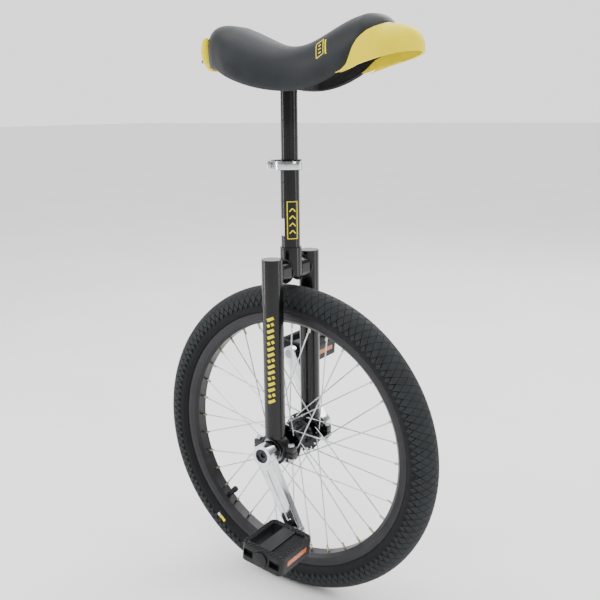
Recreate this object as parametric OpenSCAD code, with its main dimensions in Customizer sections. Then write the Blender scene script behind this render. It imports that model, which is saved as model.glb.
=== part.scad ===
// Unicycle with a 20 inch wheel: welded fork, wheel on cartridge bearings, square-taper
// cranks, quick-release seat clamp and a padded saddle with a front handle.
// Origin: where the tyre meets the ground. +X is forwards, +Y the rider's left, +Z up.

/* [Wheel] */
// Outside radius of the tyre
tyre_r = 251; // [235:1:300]
// Width of the inflated tyre
tyre_w = 49; // [42:1:56]
// Thickness of the tyre casing and tread
tyre_wall = 3.2; // [2.5:0.1:4.5]
// Height of the rim wall outside the bead seat
rim_lip = 7.5; // [6:0.5:10]
// Outside width of the rim
rim_w = 32; // [26:1:36]
// Depth of the rim from its edge to its inner face
rim_depth = 17; // [15:0.5:22]
// Thickness of the rim walls
rim_wall = 1.6; // [1.2:0.1:2]
// Number of spokes
spoke_count = 36; // [28:4:36]
// Spoke diameter
spoke_d = 2.0; // [1.8:0.1:2.3]
// Nipple length showing inside the rim
nipple_out = 10; // [8:1:13]
// Length of valve stem showing inside the rim
valve_out = 20; // [15:1:30]

/* [Hub] */
// Radius of the hub flanges
flange_r = 32; // [26:1:38]
// Distance from the wheel's middle to each flange
flange_y = 28; // [24:0.5:32]
// Thickness of a flange
flange_t = 3; // [2.5:0.5:4]
// Radius of the hub barrel
barrel_r = 14; // [12:0.5:18]
// Radius of the axle
axle_r = 8.5; // [7.5:0.5:10]
// Distance from the wheel's middle to each bearing
bearing_y = 50; // [48:0.5:56]
// Outside radius of a bearing
bearing_r = 20; // [19:0.5:22]
// Width of a bearing
bearing_w = 12; // [10:0.5:14]

/* [Cranks and pedals] */
// Crank length, axle to pedal
crank_len = 125; // [100:1:150]
// Angle of the right crank forward of straight down
crank_angle = 27.5; // [0:0.5:90]
// Distance from the wheel's middle to a crank's outer face
crank_face_y = 87; // [86:0.5:98]
// Radius of the crank's boss
boss_r = 17; // [15:0.5:20]
// Thickness of the crank arm
arm_t = 12; // [9:0.5:14]
// Pedal length, front to back
pedal_l = 72; // [64:1:100]
// Pedal width, crank side to outer side
pedal_w = 80; // [72:1:100]
// Pedal height
pedal_h = 27; // [24:0.5:34]
// Nose-down tilt of the right pedal
pedal_tilt_right = 7; // [-45:1:45]
// Nose-down tilt of the left pedal
pedal_tilt_left = 4; // [-45:1:45]

/* [Frame] */
// Outside diameter of a fork leg
leg_d = 31.8; // [28.6:0.1:34]
// Wall of the frame tubes
tube_wall = 1.6; // [1.2:0.1:2.5]
// Height of the top of the legs above the axle
leg_top = 299; // [285:1:330]
// Thickness of a leg's end cap
cap_t = 2; // [1.5:0.5:4]
// Outside diameter of the seat tube
seat_tube_d = 28.6; // [28.6:0.1:30]
// Height of the seat tube's top above the axle
seat_tube_top = 441; // [420:1:470]
// Outside diameter of the crown sleeve
lug_d = 33.2; // [33:0.1:36]
// Height of the crown sleeve's bottom above the axle
lug_bottom = 267; // [262:1:275]
// Height of the crown sleeve
lug_h = 44; // [40:1:56]

/* [Seat post and clamp] */
// Outside diameter of the seat post
post_d = 25.4; // [22.2:0.1:25.4]
// Length of the seat post
post_len = 246; // [220:1:248]
// Height of the clamp collar
collar_h = 16; // [14:0.5:20]
// Wall of the clamp collar
collar_wall = 3.4; // [3:0.1:5]
// Height of the quick-release lever
lever_h = 12; // [9:0.5:13]

/* [Saddle] */
// Height of the seat plate's underside above the axle
plate_z = 571; // [560:1:590]
// Thickness of the seat plate
plate_t = 4; // [3:0.5:6]
// Height of the saddle's lowest point above the axle
saddle_low = 541; // [535:1:545]
// Height of the saddle's dip above the axle
saddle_dip = 605.4; // [600:1:612]
// Rise of the saddle's two ends above the dip
saddle_rise = 38; // [30:1:44]
// Half width of the saddle at the back
rear_half_w = 61; // [54:1:72]
// Half width of the saddle at the waist and nose
front_half_w = 43.5; // [40:0.5:46]
// Thickness of the padding on top of the base
pad_t = 22; // [16:1:26]
// Wall of the moulded saddle base
base_t = 3.5; // [3:0.5:5]
// Wall of the front handle
handle_t = 4; // [3:0.5:6]

/* [Hidden] */
$fn = 64;
fit = 0.05;                              // radial play of a turning or sliding fit
weld = 0.02;                             // radial play of a joint that is welded or pressed
axle_z = tyre_r;
carcass_r = tyre_w / 2;
tyre_mid_r = tyre_r - carcass_r;
rim_r = 209;                             // 406 mm bead seat, plus the flange
rim_half = rim_w / 2;
lip_half = rim_half - 2;
seat_r = rim_r - rim_lip;                // bead seat
bed_r = seat_r - 1.5;                    // bottom of the rim's well
rim_in_r = rim_r - rim_depth;
well_in_r = rim_in_r + rim_wall;
step = 360 / spoke_count;
hole_pcd_r = flange_r - 3.5;
spoke_r = spoke_d / 2;
valve_angle = 225;
valve_r = 4;
hub_half = flange_y + 5;
race_t = 3;
ball_r = 3;
ball_path_r = (bearing_r + axle_r) / 2;
ball_count = 8;
holder_r = bearing_r + 4.5;
holder_w = bearing_w + 4;
ear_x = bearing_r + 10;
ear_top = 9;
split = 1;                               // gap between the two halves of a bearing holder
pad_top = holder_r + 3.5;                // where the leg stands on the holder
boss_in_y = bearing_y + bearing_w / 2 + 4;
spacer_out_y = boss_in_y - 1.5;
well_depth = 8;                          // crank puller thread
axle_end_y = crank_face_y - well_depth - 2;
square_in = 13.4;
square_out = 12.4;
puller_r = 11;
eye_r = 12.5;
arm_face_y = crank_face_y - 2;
spindle_thread_r = 7.15;
pedal_in_y = arm_face_y + 6;
pedal_out_y = pedal_in_y + pedal_w;
journal_r = 5.5;
core_r = 10.5;
window_y = 9;                            // pedal frame rail along its sides
seat_tube_r = seat_tube_d / 2;
post_r = post_d / 2;
post_bottom = plate_z - post_len;
tube_bore_r = post_r + fit;
collar_r = seat_tube_r + collar_wall;
collar_z = seat_tube_top - collar_h + 2.5;
clamp_x = -collar_r - 5;
lever_z = collar_z + collar_h / 2;
pivot_y = -19;
lever_r = 24;
stud_x = 32;
stud_y = 13;
rear_x = -76;                            // centre of the saddle's round back
nose_x = 134;                            // centre of the padding's round nose
tip_x = 166;                             // centre of the handle's round tip
handle_half_w = front_half_w + 0.6 + handle_t;
bumper_low = 577;
bumper_top = 621;
dip_x = 20;

// ---- helpers -------------------------------------------------------------

// A cylinder along Y from y0 to y1
module y_cyl(y0, y1, r, r2 = -1) {
    translate([0, y0, 0])
        rotate([-90, 0, 0])
            cylinder(h = y1 - y0, r1 = r, r2 = r2 < 0 ? r : r2);
}

// Children moved to the axle's height
module at_axle() {
    translate([0, 0, axle_z])
        children();
}

// Children turned about the axle, angle from forwards towards up
module around_axle(angle) {
    rotate([0, -angle, 0])
        children();
}

// Children as they are (left, +Y) or mirrored to the rider's right
module on_side(side) {
    if (side > 0)
        children();
    else
        mirror([0, 1, 0]) children();
}

// A ring about the axle from an outline in (radius, width)
module wheel_ring() {
    rotate([90, 0, 0])
        rotate_extrude($fn = 128)
            children();
}

// A bar of square section that narrows along Y, flat sided
module square_taper(y0, y1, a0, a1) {
    profile = [[-a0 / 2, y0], [a0 / 2, y0], [a1 / 2, y1], [-a1 / 2, y1]];
    intersection() {
        translate([0, 0, -a0])
            linear_extrude(2 * a0)
                polygon(profile);
        rotate([0, 90, 0])
            translate([0, 0, -a0])
                linear_extrude(2 * a0)
                    polygon(profile);
    }
}

// A rectangle with round corners, centred
module round_rect(x, y, r) {
    square([x - 2 * r, y], center = true);
    square([x, y - 2 * r], center = true);
    for (i = [-1, 1], j = [-1, 1])
        translate([i * (x / 2 - r), j * (y / 2 - r)])
            circle(r, $fn = 32);
}

// A cylinder between two points
module rod(p, q, r) {
    v = q - p;
    n = norm(v);
    translate(p)
        rotate([0, acos(v[2] / n), atan2(v[1], v[0])])
            cylinder(h = n, r = r, $fn = 16);
}

// ---- wheel ---------------------------------------------------------------

module tyre() {
    color("#34383b")
        at_axle()
            wheel_ring()
                difference() {
                    union() {
                        translate([tyre_mid_r, 0])
                            circle(carcass_r);
                        translate([seat_r, -lip_half])
                            square([rim_lip + 4, 2 * lip_half]);
                    }
                    translate([tyre_mid_r, 0])
                        circle(carcass_r - tyre_wall);
                    translate([seat_r - 2, -lip_half + 3.2])
                        square([rim_lip + 8, 2 * lip_half - 6.4]);
                    for (s = [-1, 1])
                        translate([rim_r - 20, s > 0 ? lip_half : -lip_half - 20])
                            square([20.3, 20]);
                    translate([rim_r - 40, -40])
                        square([40 - rim_lip, 80]);
                }
}

module inner_tube() {
    color("#202224")
        at_axle()
            wheel_ring()
                translate([tyre_mid_r, 0])
                    difference() {
                        circle(carcass_r - tyre_wall - 0.2);
                        circle(carcass_r - tyre_wall - 1.4);
                    }
}

// Outline of the rim's section in (radius, width)
rim_outer = [[rim_r, rim_half], [rim_r, lip_half], [seat_r, lip_half], [bed_r, lip_half - 2],
             [bed_r, -lip_half + 2], [seat_r, -lip_half], [rim_r, -lip_half], [rim_r, -rim_half],
             [rim_r - 5, -rim_half], [rim_r - 12, -rim_half + 2], [rim_in_r, -rim_half + 7],
             [rim_in_r, rim_half - 7], [rim_r - 12, rim_half - 2], [rim_r - 5, rim_half]];
rim_hollow = [[bed_r - rim_wall, lip_half - 3], [bed_r - rim_wall, -lip_half + 3],
              [rim_r - 12, -rim_half + 4.2], [well_in_r, -rim_half + 8],
              [well_in_r, rim_half - 8], [rim_r - 12, rim_half - 4.2]];

module rim() {
    color("#3c3b3f")
        at_axle()
            difference() {
                wheel_ring()
                    difference() {
                        polygon(rim_outer);
                        polygon(rim_hollow);
                    }
                for (i = [0:spoke_count - 1])
                    around_axle(i * step)
                        rotate([0, 90, 0]) {
                            translate([0, 0, rim_in_r - 2])
                                cylinder(h = 6, r = 2.1, $fn = 24);
                            translate([0, 0, bed_r - 4])
                                cylinder(h = 6, r = 3.5, $fn = 24);
                        }
                around_axle(valve_angle)
                    rotate([0, 90, 0])
                        translate([0, 0, rim_in_r - 2])
                            cylinder(h = rim_depth, r = valve_r + 0.1, $fn = 32);
            }
}

module rim_tape() {
    color("#2a2a2c")
        at_axle()
            difference() {
                wheel_ring()
                    translate([bed_r + fit, -lip_half + 3])
                        square([0.8, 2 * lip_half - 6]);
                around_axle(valve_angle)
                    rotate([0, 90, 0])
                        translate([0, 0, bed_r - 2])
                            cylinder(h = 6, r = valve_r + 0.1, $fn = 32);
            }
}

// One side's spokes. Even ones leave the flange's outer face and lead; odd ones trail.
module spoke_set(side) {
    per_side = spoke_count / 2;
    offset_a = side > 0 ? step : 0;
    cross = 3 * 2 * step;
    for (j = [0:per_side - 1]) {
        outer = j % 2 == 0;
        hub_a = 2 * step * j + offset_a;
        rim_a = hub_a + (outer ? cross : -cross);
        face = side * (flange_y + (outer ? flange_t / 2 + spoke_r + 1 : -flange_t / 2 - spoke_r));
        head = side * (flange_y - (outer ? 1 : -1) * (flange_t / 2 + 1));
        p = [hole_pcd_r * cos(hub_a), face, hole_pcd_r * sin(hub_a)];
        end_r = rim_in_r - nipple_out + 6;
        q = [end_r * cos(rim_a), 0, end_r * sin(rim_a)];
        bend = face + (face > head ? 1.2 : -1.2);
        rod(p, q, spoke_r);
        translate([p[0], 0, p[2]]) {
            y_cyl(min(bend, head), max(bend, head), spoke_r + 0.12, $fn = 24);
            y_cyl(head - 0.6, head + 0.6, spoke_r + 0.9, $fn = 24);
        }
    }
}

module spokes_right() {
    color("#b9bcc0")
        at_axle()
            spoke_set(-1);
}

module spokes_left() {
    color("#b9bcc0")
        at_axle()
            spoke_set(1);
}

module nipples() {
    color("#c9a65a")
        at_axle()
            for (i = [0:spoke_count - 1])
                around_axle(i * step)
                    rotate([0, 90, 0])
                        difference() {
                            union() {
                                translate([0, 0, rim_in_r - nipple_out])
                                    cylinder(h = nipple_out + rim_wall, r = 2, $fn = 24);
                                translate([0, 0, well_in_r])
                                    cylinder(h = 2.4, r = 3, $fn = 24);
                            }
                            translate([0, 0, rim_in_r - nipple_out - 1])
                                cylinder(h = 8, r1 = spoke_r + 0.7, r2 = spoke_r + 0.5, $fn = 24);
                        }
}

module valve_stem() {
    color("#1c1c1e")
        at_axle()
            around_axle(valve_angle)
                rotate([0, 90, 0])
                    translate([0, 0, rim_in_r - valve_out + 8])
                        cylinder(h = tyre_mid_r - carcass_r + tyre_wall - rim_in_r + valve_out - 8,
                                 r = valve_r, $fn = 32);
}

module valve_cap() {
    color("#1c1c1e")
        at_axle()
            around_axle(valve_angle)
                rotate([0, 90, 0])
                    translate([0, 0, rim_in_r - valve_out])
                        cylinder(h = 8, r = valve_r + 1, $fn = 32);
}

// ---- hub and bearings ----------------------------------------------------

module hub_shell() {
    color("#17181a")
        at_axle()
            difference() {
                union() {
                    y_cyl(-hub_half, hub_half, barrel_r);
                    for (s = [-1, 1])
                        on_side(s) {
                            y_cyl(flange_y - flange_t / 2, flange_y + flange_t / 2, flange_r);
                            y_cyl(flange_y - 8, flange_y - flange_t / 2, barrel_r, barrel_r + 5);
                        }
                }
                y_cyl(-hub_half - 1, hub_half + 1, axle_r + weld);
                for (s = [-1, 1], j = [0:spoke_count / 2 - 1])
                    around_axle(2 * step * j + (s > 0 ? step : 0))
                        translate([hole_pcd_r, 0, 0])
                            on_side(s)
                                y_cyl(flange_y - 4, flange_y + 4, spoke_r + 0.2, $fn = 24);
            }
}

module axle() {
    color("#8e9196")
        at_axle()
            difference() {
                intersection() {
                    union() {
                        y_cyl(-boss_in_y + 0.5, boss_in_y - 0.5, axle_r);
                        for (s = [-1, 1])
                            rotate([0, -crank_angle, 0])
                                on_side(s)
                                    square_taper(boss_in_y - 1, axle_end_y,
                                                 square_in, square_out);
                    }
                    y_cyl(-axle_end_y, axle_end_y, axle_r);
                }
                for (s = [-1, 1])
                    on_side(s)
                        y_cyl(axle_end_y - 26, axle_end_y + 1, 4.05, $fn = 32);
            }
}

module axle_spacers() {
    color("#8e9196")
        at_axle()
            for (s = [-1, 1])
                on_side(s) {
                    difference() {
                        y_cyl(hub_half, bearing_y - bearing_w / 2, axle_r + 2.5);
                        y_cyl(hub_half - 1, bearing_y, axle_r + weld);
                    }
                    difference() {
                        y_cyl(bearing_y + bearing_w / 2, spacer_out_y, axle_r + 2.5);
                        y_cyl(bearing_y, spacer_out_y + 1, axle_r + weld);
                    }
                }
}

// A groove for the balls, cut into both races
module ball_groove() {
    translate([0, bearing_y, 0])
        rotate([90, 0, 0])
            rotate_extrude()
                translate([ball_path_r, 0])
                    circle(ball_r + 0.1, $fn = 32);
}

module bearing_inner_races() {
    color("#9a9da2")
        at_axle()
            for (s = [-1, 1])
                on_side(s)
                    difference() {
                        y_cyl(bearing_y - bearing_w / 2, bearing_y + bearing_w / 2,
                              axle_r + race_t + 0.6);
                        y_cyl(bearing_y - bearing_w, bearing_y + bearing_w, axle_r + weld);
                        ball_groove();
                    }
}

module bearing_outer_races() {
    color("#9a9da2")
        at_axle()
            for (s = [-1, 1])
                on_side(s)
                    difference() {
                        y_cyl(bearing_y - bearing_w / 2, bearing_y + bearing_w / 2, bearing_r);
                        y_cyl(bearing_y - bearing_w, bearing_y + bearing_w,
                              bearing_r - race_t - 0.6);
                        ball_groove();
                    }
}

module bearing_balls() {
    color("#c8cbd0")
        at_axle()
            for (s = [-1, 1], i = [0:ball_count - 1])
                on_side(s)
                    around_axle(i * 360 / ball_count)
                        translate([ball_path_r, bearing_y, 0])
                            sphere(ball_r, $fn = 32);
}

module bearing_seals() {
    color("#2b2d30")
        at_axle()
            for (s = [-1, 1], e = [-1, 1])
                on_side(s)
                    translate([0, bearing_y + e * (bearing_w / 2 - 1), 0])
                        difference() {
                            y_cyl(-0.5, 0.5, bearing_r - race_t - 0.6 - weld);
                            y_cyl(-1, 1, axle_r + race_t + 0.9);
                        }
}

// ---- cranks and pedals ---------------------------------------------------

// Children hung below the axle and swung to a crank's angle
module at_crank(side) {
    at_axle()
        rotate([0, side > 0 ? 180 - crank_angle : -crank_angle, 0])
            on_side(side)
                children();
}

// Children at a crank's pedal eye, level with the pedal's tilt
module at_pedal(side, tilt) {
    angle = side > 0 ? crank_angle + 180 : crank_angle;
    translate([crank_len * sin(angle), 0, axle_z - crank_len * cos(angle)])
        rotate([0, tilt, 0])
            on_side(side)
                children();
}

module crank(side) {
    color("#c9ccd1")
        at_crank(side)
            difference() {
                union() {
                    y_cyl(boss_in_y, crank_face_y, boss_r);
                    translate([0, arm_face_y, 0])
                        rotate([90, 0, 0])
                            linear_extrude(arm_t)
                                polygon([[-boss_r + 3, 0], [boss_r - 3, 0],
                                         [eye_r - 1.5, -crank_len], [-eye_r + 1.5, -crank_len]]);
                    translate([0, 0, -crank_len])
                        y_cyl(arm_face_y - arm_t, arm_face_y, eye_r);
                }
                square_taper(boss_in_y - 1, axle_end_y + 4, square_in + 0.1, square_out + 0.1);
                y_cyl(crank_face_y - well_depth, crank_face_y + 1, puller_r);
                translate([0, 0, -crank_len])
                    y_cyl(arm_face_y - arm_t - 1, arm_face_y + 1, spindle_thread_r + weld);
                translate([-3.5, arm_face_y - 2, -crank_len + eye_r + 9])
                    cube([7, 3, crank_len - eye_r - boss_r - 15]);
            }
}

module crank_bolts() {
    color("#3b3e42")
        for (s = [-1, 1])
            at_crank(s)
                difference() {
                    union() {
                        y_cyl(crank_face_y - well_depth, crank_face_y - well_depth + 4.5,
                              puller_r - 0.4);
                        y_cyl(axle_end_y - 22, crank_face_y - well_depth, 4, $fn = 32);
                    }
                    y_cyl(crank_face_y - well_depth + 1, crank_face_y, 4.6, $fn = 6);
                }
}

// Spindle of one pedal, screwed into its crank
module pedal_spindle(side) {
    tilt = side > 0 ? pedal_tilt_left : pedal_tilt_right;
    color("#85888d")
        at_pedal(side, tilt) {
            y_cyl(arm_face_y - arm_t, arm_face_y, spindle_thread_r);
            y_cyl(arm_face_y, pedal_in_y - 1, 9);
            y_cyl(pedal_in_y - 1, pedal_out_y - 12, journal_r);
            y_cyl(pedal_out_y - 12, pedal_out_y - 5, journal_r - 2, $fn = 32);
        }
}

module pedal_locknuts() {
    color("#9a9da2")
        for (s = [-1, 1])
            at_pedal(s, s > 0 ? pedal_tilt_left : pedal_tilt_right)
                difference() {
                    y_cyl(pedal_out_y - 11.6, pedal_out_y - 7, 6.2, $fn = 6);
                    y_cyl(pedal_out_y - 13, pedal_out_y - 5, journal_r - 2 + weld, $fn = 32);
                }
}

// Moulded body of one pedal: two cages round a core, open at the back, plated in front
module pedal_body(side) {
    mid_y = (pedal_in_y + pedal_out_y) / 2;
    tilt = side > 0 ? pedal_tilt_left : pedal_tilt_right;
    half_l = pedal_l / 2;
    color("#3a3d40")
        at_pedal(side, tilt)
            difference() {
                translate([0, mid_y, -pedal_h / 2])
                    linear_extrude(pedal_h)
                        round_rect(pedal_l, pedal_w, 9);
                y_cyl(pedal_in_y - 1, pedal_out_y + 1, journal_r + fit);
                y_cyl(pedal_out_y - 12, pedal_out_y + 1, 8);
                translate([-half_l + 8, pedal_in_y + window_y, -pedal_h])
                    cube([half_l - 8 - core_r, pedal_w - 2 * window_y, 2 * pedal_h]);
                for (s = [-1, 1])
                    translate([core_r, pedal_in_y + window_y, s > 0 ? 7 : -pedal_h - 7])
                        cube([half_l - 8 - core_r, pedal_w - 2 * window_y, pedal_h]);
                for (x = [-half_l + 5, core_r + 4])
                    translate([x, pedal_out_y - 7, -5.5])
                        cube([half_l - core_r - 9, 8, 11]);
                for (s = [-1, 1])
                    translate([s > 0 ? half_l - 2.5 : -half_l - 1, mid_y - 24.3, -4.3])
                        cube([3.5, 48.6, 8.6]);
            }
}

module pedal_end_cap(side) {
    color("#2e3134")
        at_pedal(side, side > 0 ? pedal_tilt_left : pedal_tilt_right)
            union() {
                y_cyl(pedal_out_y - 4, pedal_out_y, 8 - weld);
                y_cyl(pedal_out_y, pedal_out_y + 2.5, 11);
            }
}

module pedal_reflectors(side) {
    mid_y = (pedal_in_y + pedal_out_y) / 2;
    color("#d9812b")
        at_pedal(side, side > 0 ? pedal_tilt_left : pedal_tilt_right)
            for (s = [-1, 1])
                translate([s > 0 ? pedal_l / 2 - 2.5 : -pedal_l / 2, mid_y - 24, -4])
                    cube([2.5, 48, 8]);
}

// ---- frame ---------------------------------------------------------------

module fork_leg(side) {
    color("#17181a")
        at_axle()
            translate([0, side * bearing_y, pad_top])
                difference() {
                    cylinder(h = leg_top - cap_t - pad_top, d = leg_d);
                    translate([0, 0, -1])
                        cylinder(h = leg_top, d = leg_d - 2 * tube_wall);
                }
}

module leg_caps() {
    color("#1d1e21")
        at_axle()
            for (s = [-1, 1])
                translate([0, s * bearing_y, leg_top - cap_t])
                    cylinder(h = cap_t, d = leg_d);
}

// Oval tubes that join the sleeve to each leg
module crown_tubes() {
    color("#17181a")
        at_axle()
            for (s = [-1, 1])
                on_side(s)
                    difference() {
                        translate([0, bearing_y, leg_top - cap_t - 22])
                            rotate([90, 0, 0])
                                linear_extrude(bearing_y - lug_d / 4)
                                    round_rect(23, 34, 11.4);
                        translate([0, bearing_y, 0])
                            cylinder(h = leg_top + 20, d = leg_d + 2 * weld);
                        cylinder(h = leg_top + 80, d = lug_d + 2 * weld);
                    }
}

module crown_sleeve() {
    color("#17181a")
        at_axle()
            translate([0, 0, lug_bottom])
                difference() {
                    cylinder(h = lug_h, d = lug_d);
                    translate([0, 0, -1])
                        cylinder(h = lug_h + 2, d = seat_tube_d + 2 * weld);
                }
}

module seat_tube() {
    color("#17181a")
        at_axle()
            difference() {
                translate([0, 0, lug_bottom])
                    cylinder(h = seat_tube_top - lug_bottom, d = seat_tube_d);
                translate([0, 0, lug_bottom - 1])
                    cylinder(h = seat_tube_top, r = tube_bore_r);
                translate([-seat_tube_d, -1.25, seat_tube_top - 38])
                    cube([seat_tube_d, 2.5, 40]);
            }
}

// One half of a bearing holder: upper = 1 is welded to the leg, -1 is the loose cap
module holder_half(upper) {
    difference() {
        union() {
            y_cyl(bearing_y - holder_w / 2, bearing_y + holder_w / 2, holder_r);
            translate([-ear_x - 6.5, bearing_y - 6.5, -ear_top])
                cube([2 * ear_x + 13, 13, 2 * ear_top]);
            if (upper > 0)
                translate([0, bearing_y, bearing_r])
                    cylinder(h = pad_top - bearing_r, d = leg_d);
        }
        y_cyl(bearing_y - holder_w, bearing_y + holder_w, bearing_r + weld);
        translate([-100, 0, upper > 0 ? split / 2 - 100 : -split / 2])
            cube([200, 100, 100]);
        for (e = [-1, 1])
            translate([e * ear_x, bearing_y, -20])
                cylinder(h = 40, r = 3.2, $fn = 32);
    }
}

module bearing_holder(side) {
    color("#17181a")
        at_axle()
            on_side(side)
                holder_half(1);
}

module bearing_cap(side) {
    color("#17181a")
        at_axle()
            on_side(side)
                holder_half(-1);
}

module holder_bolts() {
    color("#b7babf")
        at_axle()
            for (s = [-1, 1], e = [-1, 1])
                translate([e * ear_x, s * bearing_y, 0]) {
                    translate([0, 0, -ear_top - 8])
                        cylinder(h = 2 * ear_top + 8, r = 3, $fn = 32);
                    translate([0, 0, ear_top])
                        cylinder(h = 4, r = 5.6, $fn = 6);
                }
}

module holder_nuts() {
    color("#b7babf")
        at_axle()
            for (s = [-1, 1], e = [-1, 1])
                translate([e * ear_x, s * bearing_y, -ear_top - 5])
                    difference() {
                        cylinder(h = 5, r = 5.6, $fn = 6);
                        translate([0, 0, -1])
                            cylinder(h = 7, r = 3 + weld, $fn = 32);
                    }
}

// ---- seat clamp ----------------------------------------------------------

module clamp_collar() {
    color("#17181a")
        at_axle()
            translate([0, 0, collar_z])
                difference() {
                    union() {
                        cylinder(h = collar_h, r = collar_r);
                        translate([clamp_x - 5, -10.5, 1])
                            cube([collar_r - 2, 21, collar_h - 2]);
                    }
                    translate([0, 0, -1])
                        cylinder(h = collar_h - 1.3, r = seat_tube_r + fit);
                    translate([0, 0, -1])
                        cylinder(h = collar_h + 2, r = post_r + 0.3);
                    translate([clamp_x - 6, -1.5, -1])
                        cube([collar_r + 2, 3, collar_h + 2]);
                    translate([clamp_x, 0, collar_h / 2])
                        y_cyl(-20, 20, 3.1, $fn = 32);
                }
}

module clamp_bolt() {
    color("#9a9da2")
        at_axle()
            translate([clamp_x, 0, lever_z])
                difference() {
                    union() {
                        y_cyl(-15, 16, 3, $fn = 32);
                        translate([0, pivot_y, -4])
                            cylinder(h = 8, r = 4.4, $fn = 32);
                    }
                    translate([0, pivot_y, -6])
                        cylinder(h = 12, r = 2.6, $fn = 32);
                }
}

module clamp_washer() {
    color("#55585c")
        at_axle()
            translate([clamp_x, 0, lever_z])
                difference() {
                    y_cyl(-12.4, -10.5, 5.6, $fn = 32);
                    y_cyl(-14, -9, 3 + weld, $fn = 32);
                }
}

module clamp_nut() {
    color("#55585c")
        at_axle()
            translate([clamp_x, 0, lever_z])
                difference() {
                    y_cyl(10.5, 15, 5.8, $fn = 32);
                    y_cyl(9, 17, 3 + weld, $fn = 32);
                }
}

module lever_pin() {
    color("#9a9da2")
        at_axle()
            translate([clamp_x, pivot_y, lever_z - lever_h / 2])
                cylinder(h = lever_h, r = 2.5, $fn = 32);
}

// Cam lever that lies round the tube when it is shut
module clamp_lever() {
    color("#c9ccd1")
        at_axle()
            translate([0, 0, lever_z - lever_h / 2])
                difference() {
                    union() {
                        intersection() {
                            difference() {
                                cylinder(h = lever_h, r = lever_r + 3);
                                translate([0, 0, -1])
                                    cylinder(h = lever_h + 2, r = lever_r);
                            }
                            linear_extrude(lever_h)
                                polygon([[0, 0], [clamp_x, pivot_y], [clamp_x, -60],
                                         [60, -60], [60, -20]]);
                        }
                        translate([clamp_x, pivot_y, 0])
                            cylinder(h = lever_h, r = 6.2);
                    }
                    translate([clamp_x - 7, pivot_y - 4.6, 1.8])
                        cube([12, 12, lever_h - 3.6]);
                    translate([clamp_x, pivot_y, -1])
                        cylinder(h = lever_h + 2, r = 2.5 + fit, $fn = 32);
                }
}

// ---- seat post and saddle ------------------------------------------------

module seat_post() {
    color("#17181a")
        at_axle()
            translate([0, 0, post_bottom])
                difference() {
                    cylinder(h = post_len, r = post_r);
                    translate([0, 0, -1])
                        cylinder(h = post_len, r = post_r - tube_wall);
                }
}

module seat_plate() {
    color("#1d1e21")
        at_axle()
            difference() {
                translate([0, 0, plate_z])
                    linear_extrude(plate_t)
                        round_rect(2 * stud_x + 20, 2 * stud_y + 15, 7);
                for (i = [-1, 1], j = [-1, 1])
                    translate([i * stud_x, j * stud_y, plate_z - 1])
                        cylinder(h = plate_t + 2, r = 3.2, $fn = 32);
            }
}

// Height of the saddle's top line, lowest in the dip and round at both ends
function ease(u) = (1 - cos(180 * min(1, max(0, u)))) / 2;
function round_end(u) = sqrt(max(0, 1 - u * u));
function pad_top_z(x) =
    x < -111 ? saddle_dip + saddle_rise - 21 + 21 * round_end((-111 - x) / 44) :
    x < dip_x ? saddle_dip + saddle_rise * ease((dip_x - x) / 131) :
    x < 145 ? saddle_dip + saddle_rise * ease((x - dip_x) / 125) :
    saddle_dip + saddle_rise - 16 + 16 * round_end((x - 145) / 34);
function pad_low_z(x) =
    x < -98 ? saddle_low + 33.3 + 0.06 * (-98 - x) :
    x < 25 ? saddle_low + 0.0022 * (x - 25) * (x - 25) :
    x < 112 ? saddle_low + 0.0035 * (x - 25) * (x - 25) :
    min(saddle_low + 59, saddle_low + 26.5 + 0.9 * (x - 112));
function pad_half_w(x) =
    x < rear_x ? sqrt(max(1, rear_half_w * rear_half_w - (x - rear_x) * (x - rear_x))) :
    x < 40 ? front_half_w + (rear_half_w - front_half_w) * (1 - ease((x - rear_x) / 124)) :
    x < nose_x ? front_half_w :
    sqrt(max(1, front_half_w * front_half_w - (x - nose_x) * (x - nose_x)));
function handle_top_z(x) = saddle_dip + 12 + 18 * round_end(max(0, (x - 150) / 66));
function handle_low_z(x) = saddle_low + 26 + 0.3 * (x - 118) - 0.0006 * (x - 118) * (x - 118);
function handle_half(x) =
    x < tip_x ? handle_half_w :
    sqrt(max(4, handle_half_w * handle_half_w - (x - tip_x) * (x - tip_x)));

arch_steps = 18;
// One arch of points: half width w, foot at z0, crown at z1
function arch(x, w, z0, z1) = [for (i = [0:arch_steps])
    let (a = 180 * i / arch_steps, c = cos(a), s = sin(a), p = 0.75)
        [x, w * sign(c) * pow(abs(c), p), z0 + (z1 - z0) * pow(s, p)]];

// A closed solid through a row of arches, each given as [x, half width, foot z, crown z]
module arch_body(sections) {
    n = arch_steps + 1;
    last = len(sections) - 1;
    points = [for (s = sections) for (p = arch(s[0], s[1], s[2], s[3])) p];
    sides = [for (k = [0:last - 1], i = [0:n - 1])
        [k * n + i, (k + 1) * n + i, (k + 1) * n + (i + 1) % n, k * n + (i + 1) % n]];
    back = [for (i = [0:n - 1]) i];
    front = [for (i = [n - 1:-1:0]) last * n + i];
    polyhedron(points = points, faces = concat(sides, [back, front]), convexity = 4);
}

pad_x0 = rear_x - rear_half_w + 1.2;
pad_x1 = nose_x + front_half_w - 1.2;
pad_side = 7;                            // thickness of the cover and foam on the flaps
base_lift = 3;                           // how far the base's edge stays above the padding's
arch_stations = 36;
// Stations from x0 to x1, closer together at both ends
function stations(x0, x1) = [for (k = [0:arch_stations])
    x0 + (x1 - x0) * (1 - cos(180 * k / arch_stations)) / 2];

// The padding's outer form, grown by some clearance all round
module pad_form(grow = 0) {
    arch_body([for (x = stations(pad_x0, pad_x1))
        [x + (x > 0 ? grow : -grow), pad_half_w(x) + grow, pad_low_z(x) - grow,
         pad_top_z(x) + grow]]);
}

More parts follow.
